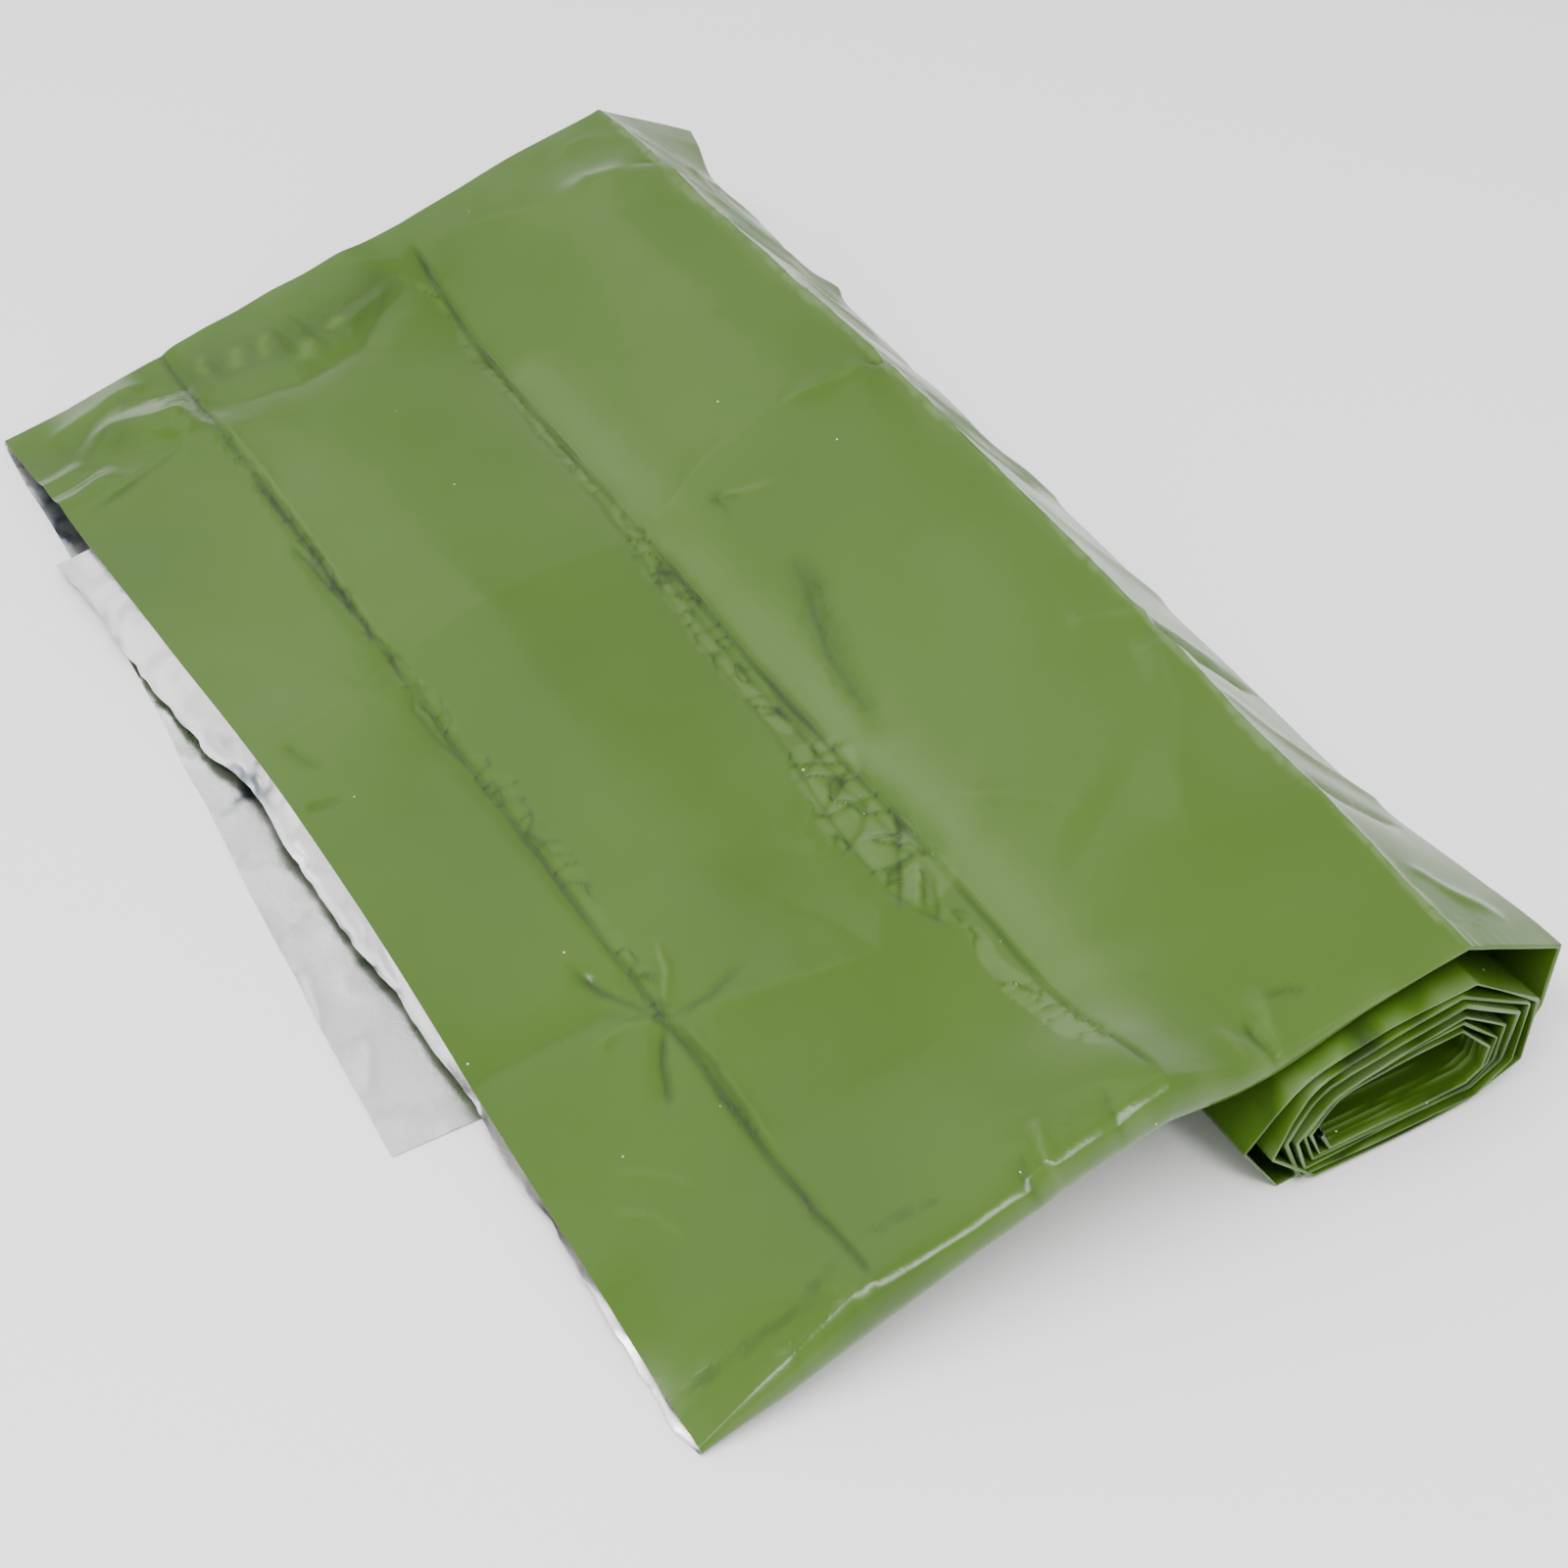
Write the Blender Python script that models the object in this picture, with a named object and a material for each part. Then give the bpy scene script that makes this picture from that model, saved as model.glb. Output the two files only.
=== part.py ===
"""Emergency foil blanket, half unrolled, as one folded and wound sheet.

The film is folded lengthwise into a strip of three layers. The strip's free end lies open on the
floor, rises as a creased ramp, and turns over a ridge into a flattened roll whose folds keep their
corners. X runs along the strip from the free end to the roll, Y along the roll, Z up.
"""
import bpy
import bmesh
from collections import namedtuple
from math import cos, pi, radians, sin
from mathutils import Vector

MM = 0.001

# Driving dimensions, in metres
WIDTH = 504 * MM          # strip's width, between its two long folds
SHEET = 1.0 * MM          # one layer of the loose part
GAP = 0.8 * MM            # air between two layers of the loose part
WOUND = 1.6 * MM          # the three layers together, once they are wound
LAPS = 5                  # turns of the roll
TURN_SHIFT = -6 * MM      # how far the wound turns stand out at the near end
FAR_SQUASH = 0.06         # how much flatter the inner turns are at the far end
SECOND_EDGE = 0.845       # raw edge of the second layer, as a share of the width
THIRD_EDGE = 0.264        # raw edge of the third layer, as a share of the width
PUFF_REACH = 0.14         # how far in from the near fold its puff fades out, as a share of the width
SECOND_JUT = 10 * MM      # how far the second layer's corner sticks out past the top layer
JUT_START = 0.57          # where along the width that layer starts to stick out, as a share
THIRD_JUT = 25 * MM       # the same for the third layer's corner
TOP_BOW = 5 * MM          # how far the top layer's cut end bows back in its middle
FOLD_STEPS = 6            # facets around each long fold

# Where the cross-section has its points, as shares of the width
STATIONS = (0.02, 0.055, 0.095, 0.14, 0.20, THIRD_EDGE, 0.33, 0.40, 0.47, 0.54, 0.61, 0.68, 0.75,
            0.80, SECOND_EDGE, 0.89, 0.94, 0.98)
# Where the height columns of RAMP apply, as shares of the width
HEIGHT_AT = (0.0, 0.13, 0.55, 0.86, 1.0)

# Lines across the ramp, in mm: x at the near and the far fold, outer height at five places from
# the near to the far fold, height of the puffed near fold, and the slack between the top layer
# and the ones below it
Line = namedtuple("Line", "name x_near x_far z_near z_inner z_mid z_outer z_far puff slack")
RAMP = (
    Line("cut end",       0,   0,  4.5,  8, 15, 10,  4.6,  3, 40),
    Line("toe",          22,  25, 15,   13, 17, 13,  9.5, 11,  5),
    Line("first crease", 56,  61, 32,   24, 21, 22, 18.9, 17,  1.5),
    Line("first panel",  82,  84, 39,   31, 28, 27, 24.3, 13,  1),
    Line("second panel", 118, 122, 52,  38, 32, 31, 33.5, 15,  0.5),
    Line("second crease", 146, 158, 60, 42, 33, 30, 42.5, 18,  0),
    Line("pinch",       175, 181, 52,   51, 48, 44, 48.7,  9,  0),
    Line("rise",        211, 207, 58,   60, 62, 60, 56,    4,  0),
    Line("ridge",       245, 243, 62,   65, 72, 69, 64,    0,  0),
)

# Corners of one turn, in mm, for the outermost turn, the next one and the innermost one, and how
# far the outer turns' corners shift in the middle of the width
Corner = namedtuple("Corner", "name first_x first_z second_x second_z last_x last_z mid_x mid_z")
TURN = (
    Corner("ridge",       245, 62, 250, 51,   243, 35,    0, 13),
    Corner("back top",    282, 44, 272, 31,   258, 23,   -5.5, -5.5),
    Corner("back low",    279, 21, 269,  9,   256, 15,   -2,  0),
    Corner("floor back",  268,  0, 250,  3,   245, 13.5,  0,  0),
    Corner("floor front", 184,  0, 193,  3,   205, 13.5,  0,  0),
    Corner("knee",        169, 23, 179, 20,   192, 22,    0,  0),
    Corner("shoulder",    189, 41, 188, 39,   200, 32,    0,  0),
    Corner("crown",       214, 48, 214, 47,   214, 37,    0,  5),
)
INNER_BULGE = 0.6         # share of the middle shift that the second turn keeps

FILM_GREEN = (0.165, 0.27, 0.07, 1.0)


def blend(a, b, t):
    return a + (b - a) * t


def ease(t):
    """Smooth step from 0 to 1."""
    t = min(1.0, max(0.0, t))
    return t * t * (3.0 - 2.0 * t)


def height_on(line, share):
    """Outer height of a ramp line at a share of the width, eased between its five columns."""
    heights = (line.z_near, line.z_inner, line.z_mid, line.z_outer, line.z_far)
    for k in range(len(HEIGHT_AT) - 1):
        if share <= HEIGHT_AT[k + 1] or k == len(HEIGHT_AT) - 2:
            t = (share - HEIGHT_AT[k]) / (HEIGHT_AT[k + 1] - HEIGHT_AT[k])
            return blend(heights[k], heights[k + 1], ease(t)) * MM


def bow(share):
    """How far the top layer's cut end bows back, at a share of the width."""
    return TOP_BOW * sin(pi * min(1.0, max(0.0, share))) ** 2


def ramp_point(line, share):
    """Point (x, z) of the outer face on a ramp line."""
    x = blend(line.x_near, line.x_far, share) * MM
    if line is RAMP[0]:
        x += bow(share)
    return Vector((x, height_on(line, share)))


def turn_point(lap, corner, share):
    """Point (x, z) of the outer face at a corner of a turn."""
    row = TURN[corner]
    belly = ease(share / 0.2) * ease((1.0 - share) / 0.1)
    middle = Vector((row.mid_x, row.mid_z)) * belly
    if lap == 0:
        return (Vector((row.first_x, row.first_z)) + middle) * MM
    wound = ((lap - 1) * len(TURN) + corner) / ((LAPS - 1) * len(TURN) - 1)
    x = blend(row.second_x, row.last_x, wound)
    z = blend(row.second_z, row.last_z, wound)
    squash = 1.0 - FAR_SQUASH * share * ease((z - 15.0) / 20.0)
    return (Vector((x, z * squash)) + middle * INNER_BULGE * (1.0 - wound)) * MM


def path(share):
    """Outer face's points (x, z) along the whole strip, at a share of the width."""
    points = [ramp_point(line, share) for line in RAMP]
    points += [turn_point(0, c, share) for c in range(1, len(TURN))]
    for lap in range(1, LAPS):
        points += [turn_point(lap, c, share) for c in range(len(TURN))]
    return points


def outward(points, k):
    """Mitred outward normal of a path at its point k, as long as a unit offset needs."""
    if k == 0:
        return Vector((0.0, 1.0))
    before = (points[k] - points[k - 1]).normalized()
    after = (points[min(k + 1, len(points) - 1)] - points[k]).normalized()
    if k == len(points) - 1:
        after = before
    normal = (before.orthogonal() + after.orthogonal()).normalized()
    return normal / max(0.5, normal.dot(before.orthogonal()))


def turn_shift(k):
    """Shift along Y of path point k: none on the ramp, TURN_SHIFT once a full turn is wound."""
    return TURN_SHIFT * ease((k - len(RAMP) + 1) / len(TURN))


def place(k, along, depth):
    """Solid's point at path point k, a distance along the width, and a depth under the outer face."""
    share = along / WIDTH
    points = path(share)
    at = points[k] - outward(points, k) * depth
    return Vector((at.x, along + turn_shift(k), at.y))


def arc(centre, depth, radius, first, last):
    """Points (along, depth) around a long fold, its end points left out."""
    steps = [first + (last - first) * s / FOLD_STEPS for s in range(1, FOLD_STEPS)]
    return [(centre + radius * cos(radians(a)), depth - radius * sin(radians(a))) for a in steps]


def layer_depths(line, share):
    """Depths of the middles of the second and third layers under the middle of the top one."""
    room = height_on(line, share) - SHEET
    step = SHEET + GAP
    third = min(2 * step + line.slack * MM, room)
    second = third - step
    if share < THIRD_EDGE - 0.01:
        second = min(step + line.slack * MM, room)
    puffed = max(second, min(line.puff * MM, room))
    return blend(puffed, second, ease(share / PUFF_REACH)), third


def centre_line(line):
    """Folded film's middle line (along, depth) on a ramp line, from one raw edge to the other."""
    second = [s for s in STATIONS if s <= SECOND_EDGE]
    third = [s for s in STATIONS if s >= THIRD_EDGE]
    mid = SHEET / 2
    near_radius = layer_depths(line, 0.0)[0] / 2
    far_radius = layer_depths(line, 1.0)[1] / 2
    points = [(s * WIDTH, mid + layer_depths(line, s)[0]) for s in reversed(second)]
    points += arc(near_radius, mid + near_radius, near_radius, 270, 90)
    points += [(s * WIDTH, mid) for s in STATIONS]
    points += arc(WIDTH - far_radius, mid + far_radius, far_radius, 90, -90)
    points += [(s * WIDTH, mid + layer_depths(line, s)[1]) for s in reversed(third)]
    return points


def offset(points, distance):
    """The line moved sideways by a distance, towards the film's outer side."""
    moved = []
    for k, point in enumerate(points):
        before = Vector(point) - Vector(points[max(k - 1, 0)])
        after = Vector(points[min(k + 1, len(points) - 1)]) - Vector(point)
        run = (before.normalized() + after.normalized()).normalized()
        moved.append((point[0] + run.y * distance, point[1] - run.x * distance))
    return moved


def jut(k, along, layer):
    """How far a lower layer's cut end sticks out past the top layer's, along -X."""
    if k > 0:
        return 0.0
    share = along / WIDTH
    if layer == "second":
        return bow(share) + SECOND_JUT * ease((share - JUT_START) / (SECOND_EDGE - JUT_START))
    if layer == "third":
        return bow(share) + THIRD_JUT * (1.0 - share) / (1.0 - THIRD_EDGE)
    return 0.0


def wound_outline():
    """Closed outline (along, depth) of the wound strip, from the near fold over the outer face,
    round the far fold and back along the inner face."""
    radius = WOUND / 2
    points = arc(radius, radius, radius, 270, 90)
    points += [(s * WIDTH, 0.0) for s in STATIONS]
    points += arc(WIDTH - radius, radius, radius, 90, -90)
    points += [(s * WIDTH, WOUND) for s in reversed(STATIONS)]
    return points


def bridge(mesh, first, second, closed):
    """Quads between two rows of vertices."""
    count = len(first) if closed else len(first) - 1
    for k in range(count):
        n = (k + 1) % len(first)
        mesh.faces.new((first[k], first[n], second[n], second[k]))


def ladder(mesh, left, right):
    """Quads between two vertex rows that run side by side."""
    for k in range(len(left) - 1):
        mesh.faces.new((left[k], left[k + 1], right[k + 1], right[k]))


def loose_rows(mesh):
    """Rows of vertices on the outer and inner side of the folded film, for each line where its
    layers are apart."""
    second_count = len([s for s in STATIONS if s <= SECOND_EDGE])
    rows = []
    for k, line in enumerate(RAMP[:-1]):
        middle = centre_line(line)
        third_start = second_count + 2 * (FOLD_STEPS - 1) + len(STATIONS)
        sides = []
        for side in (SHEET / 2, -SHEET / 2):
            row = []
            for i, (along, depth) in enumerate(offset(middle, side)):
                point = place(k, along, depth)
                layer = "second" if i < second_count else "third" if i >= third_start else "top"
                point.x -= jut(k, along, layer)
                row.append(mesh.verts.new(point))
            sides.append(row)
        rows.append(sides)
    return rows


def close_slots(mesh, outer, inner):
    """The wall where the gaps between the layers end and the wound strip begins. Returns the loop
    of vertices around the whole strip there."""
    second_count = len([s for s in STATIONS if s <= SECOND_EDGE])
    third_count = len([s for s in STATIONS if s >= THIRD_EDGE])
    top_start = second_count + FOLD_STEPS - 1
    top_end = top_start + len(STATIONS)
    third_start = top_end + FOLD_STEPS - 1
    bare_count = len(STATIONS) - third_count
    second_inner = inner[:second_count][::-1]
    second_outer = outer[:second_count][::-1]
    top_inner = inner[top_start:top_end]
    third_inner = inner[third_start:][::-1]
    third_edge = outer[-1]

    ladder(mesh, second_inner, top_inner[:second_count])
    mesh.faces.new([second_inner[0]] + inner[second_count:top_start] + [top_inner[0]])
    shared = second_count - bare_count
    ladder(mesh, second_outer[bare_count:], third_inner[:shared])
    mesh.faces.new((second_outer[bare_count - 1], second_outer[bare_count], third_inner[0], third_edge))
    mesh.faces.new((second_outer[-1], third_inner[shared - 1], third_inner[shared],
                    top_inner[second_count]))
    mesh.faces.new((top_inner[second_count], top_inner[second_count - 1], second_inner[-1],
                    second_outer[-1]))
    ladder(mesh, third_inner[shared:], top_inner[second_count:])
    mesh.faces.new([top_inner[-1]] + inner[top_end:third_start] + [third_inner[-1]])
    return outer[second_count:] + outer[second_count - bare_count:second_count]


def build_film():
    """The whole blanket as one closed mesh."""
    mesh = bmesh.new()
    rows = loose_rows(mesh)
    for (outer, inner), (next_outer, next_inner) in zip(rows, rows[1:]):
        bridge(mesh, outer, next_outer, False)
        bridge(mesh, inner, next_inner, False)
        for end in (0, -1):
            mesh.faces.new((outer[end], next_outer[end], next_inner[end], inner[end]))
    ladder(mesh, *rows[0])

    loop = close_slots(mesh, *rows[-1])
    outline = wound_outline()
    for k in range(len(rows), len(path(0.0))):
        ring = [mesh.verts.new(place(k, along, depth)) for along, depth in outline]
        bridge(mesh, loop, ring, True)
        loop = ring
    outer_face = loop[FOLD_STEPS - 1:FOLD_STEPS - 1 + len(STATIONS)]
    inner_face = loop[-len(STATIONS):][::-1]
    near_fold = loop[:FOLD_STEPS - 1]
    far_fold = loop[FOLD_STEPS - 1 + len(STATIONS):-len(STATIONS)]
    ladder(mesh, outer_face, inner_face)
    mesh.faces.new(near_fold + [outer_face[0], inner_face[0]])
    mesh.faces.new(far_fold + [inner_face[-1], outer_face[-1]])

    bmesh.ops.recalc_face_normals(mesh, faces=mesh.faces)
    stand_on_origin(mesh)
    return mesh


def stand_on_origin(mesh):
    """Move the mesh so that the middle of its underside's box is the origin."""
    xs = [v.co.x for v in mesh.verts]
    ys = [v.co.y for v in mesh.verts]
    lowest = min(v.co.z for v in mesh.verts)
    shift = Vector(((min(xs) + max(xs)) / 2, (min(ys) + max(ys)) / 2, lowest))
    bmesh.ops.translate(mesh, verts=mesh.verts, vec=-shift)


def film_material():
    """Glossy olive-green face of the metallised film."""
    material = bpy.data.materials.new("green film")
    material.use_nodes = True
    shader = material.node_tree.nodes["Principled BSDF"]
    shader.inputs["Base Color"].default_value = FILM_GREEN
    shader.inputs["Roughness"].default_value = 0.22
    shader.inputs["Metallic"].default_value = 0.15
    return material


def main():
    for item in list(bpy.data.objects):
        bpy.data.objects.remove(item, do_unlink=True)
    mesh = build_film()
    data = bpy.data.meshes.new("foil_blanket")
    mesh.to_mesh(data)
    mesh.free()
    data.materials.append(film_material())
    bpy.context.scene.collection.objects.link(bpy.data.objects.new("foil_blanket", data))


main()
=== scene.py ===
from collections import namedtuple

import bpy
import numpy as np
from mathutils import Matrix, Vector


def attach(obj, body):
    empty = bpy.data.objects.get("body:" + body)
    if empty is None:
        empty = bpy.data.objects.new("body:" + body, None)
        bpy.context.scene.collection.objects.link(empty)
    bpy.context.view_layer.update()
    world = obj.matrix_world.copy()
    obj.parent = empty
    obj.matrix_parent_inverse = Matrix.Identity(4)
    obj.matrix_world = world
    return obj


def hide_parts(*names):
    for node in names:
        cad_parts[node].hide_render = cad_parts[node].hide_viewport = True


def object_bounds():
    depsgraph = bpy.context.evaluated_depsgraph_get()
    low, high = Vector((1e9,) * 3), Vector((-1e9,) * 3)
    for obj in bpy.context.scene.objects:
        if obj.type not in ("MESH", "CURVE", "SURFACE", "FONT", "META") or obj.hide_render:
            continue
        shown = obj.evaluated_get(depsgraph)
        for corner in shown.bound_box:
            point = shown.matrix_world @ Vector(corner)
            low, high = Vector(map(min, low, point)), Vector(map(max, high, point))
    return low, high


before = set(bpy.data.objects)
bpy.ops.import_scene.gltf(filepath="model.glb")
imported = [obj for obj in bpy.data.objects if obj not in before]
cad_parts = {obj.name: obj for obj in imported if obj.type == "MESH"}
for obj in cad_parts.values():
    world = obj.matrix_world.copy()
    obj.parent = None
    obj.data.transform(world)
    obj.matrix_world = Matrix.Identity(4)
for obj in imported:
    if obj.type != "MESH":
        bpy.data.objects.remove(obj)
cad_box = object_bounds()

# Emergency foil blanket: one piece of film, green outside and silver inside, folded lengthwise
# into a strip of three layers, its free end open on the floor and the rest wound into a roll.
# Sizes are in mm. "s" runs along the strip from its cut end, "v" across it from the near fold.
MM = 0.001
WIDTH = 504.0
FILM = 0.16               # the film as drawn; the real one is about 0.02
STEP = 1.8                # from one layer to the next in the open part, as in the solid
WOUND_STEP = 0.3          # from one layer to the next in the roll
SECOND_EDGE = 0.845 * WIDTH   # raw edge of the second layer, turned under along the near fold
THIRD_EDGE = 0.264 * WIDTH    # raw edge of the third layer, turned under along the far fold
ROOM_UNDER = 0.4          # least height of the lower layers' middle over the floor
PUFF_REACH = 70.0         # how far in from the near fold the layers part in the open part
WOUND_REACH = 25.0        # the same in the roll
WOUND_PUFF = 1.3          # height of the near fold in the roll
TURN_SHIFT = -5.7         # how far across the inner turns lie from the outer one
FAR_SQUASH = 0.06         # share by which the inner turns are lower at the far end
INNER_BULGE = 0.6         # share of the outer turn's bow that the turns inside it start from
SEAM_STEP = 0.8           # normals at each length's end lines use points this far past them

# The strip's near corner in the frame: the solid reaches 25 mm past it in X and 6 mm in Y
CORNER = Vector((cad_box[0][0] + 0.025, cad_box[0][1] + 0.006, 0.0))

# The camera of the photo: its place from that corner, and its direction in degrees
SENSOR = 36.0
FOCAL_LENGTH = 74.2
CAMERA_PLACE = (-234.17, -437.22, 701.49)
CAMERA_YAW = 30.676
CAMERA_PITCH = 42.989
FLOOR_HALF = 20.0         # in metres

# Lines across the ramp: x at the near and the far fold, outer height at five places across,
# height of the puffed near fold, slack between the layers, and whether the line is a crease
Line = namedtuple("Line", "name x_near x_far z_near z_inner z_mid z_outer z_far puff slack sharp")
HEIGHT_AT = (0.0, 0.13 * WIDTH, 0.55 * WIDTH, 0.86 * WIDTH, WIDTH)
RAMP = (
    Line("cut end",         0,   0, 3.5,  8, 15, 10,  3.6,  3,  40, True),
    Line("toe",            22,  25,  15, 13, 17, 13,  9.5, 11,   5, False),
    Line("first crease",   56,  61,  32, 24, 21, 22, 18.9, 17, 2.5, True),
    Line("first panel",    82,  84,  39, 31, 28, 27, 24.3, 13,   2, False),
    Line("second panel",  118, 122,  52, 38, 32, 31, 33.5, 15,   2, False),
    Line("second crease", 146, 158,  60, 42, 33, 30, 42.5, 18,   3, True),
    Line("pinch",         175, 181,  52, 51, 48, 44, 48.7,  9,   2, False),
    Line("rise",          211, 207,  58, 60, 62, 60,   56,  4, 1.5, False),
    Line("ridge",         245, 243,  62, 65, 72, 69,   64,  1, 2.5, True),
)
TOP_BOW = 5.0             # how far the cut end curves in at the middle of its width

# Corners of each turn of the roll (x, z) from its ridge on, and how far they shift in the middle
# of the width. The last turn ends at its knee, so the roll's core is open.
CORNERS = ("ridge", "back top", "back low", "floor back", "floor front", "knee", "shoulder",
           "crown")
ROUNDED = ("shoulder", "crown")
TURNS = (
    ((245, 62), (281.5, 43.5), (278.5, 21), (267, 0.1),
     (184, 0.1), (169.5, 23), (187, 43), (211, 50)),
    ((245, 52), (272, 31), (269, 8), (250, 1.7),
     (194, 1.7), (177.5, 18), (188.5, 39.5), (212, 46.5)),
    ((240, 50), (267, 33), (264, 11), (252, 3.2),
     (189, 3.6), (182, 21.5), (190.5, 35.5), (214, 42.5)),
    ((241, 47), (263.5, 31.5), (261, 12), (251, 4.8),
     (191, 5.6), (186, 20), (196, 31.5), (214, 36.5)),
    ((243, 40), (260.5, 27), (258.5, 13), (250, 6.5),
     (193.5, 7.5), (189, 20), (198, 30), (216, 34.5)),
    ((243.5, 37), (258, 23), (256, 13), (249, 8.2),
     (196, 9.3), (191.5, 19.5), (199, 28.7), (217, 32.3)),
    ((243.5, 34), (255.5, 21), (253.5, 13), (248, 10),
     (198.5, 11), (194.5, 18.5)),
)
MIDDLE_X = {"back top": -5.5, "back low": -2.0}
MIDDLE_Z = {"back top": -5.5, "crown": 5.0}

# Edges of the cut end, at places across the width: how far the lower layers stick out
EDGE_AT = (0, 37, 85, 138, 170, 252, 289, 317, 350, 378, 426, 480, 504)
SECOND_OUT = (1.6, 1.2, -0.3, -2.6, -2.3, 1.4, -1.3, 4.3, 6.2, 7.7, 10.0, 10.0, 10.0)
THIRD_OUT = (25, 25, 25, 24.6, 22.5, 16.2, 13.2, 10.9, 8.0, 6.0, 3.5, 1.5, 0.3)

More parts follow.
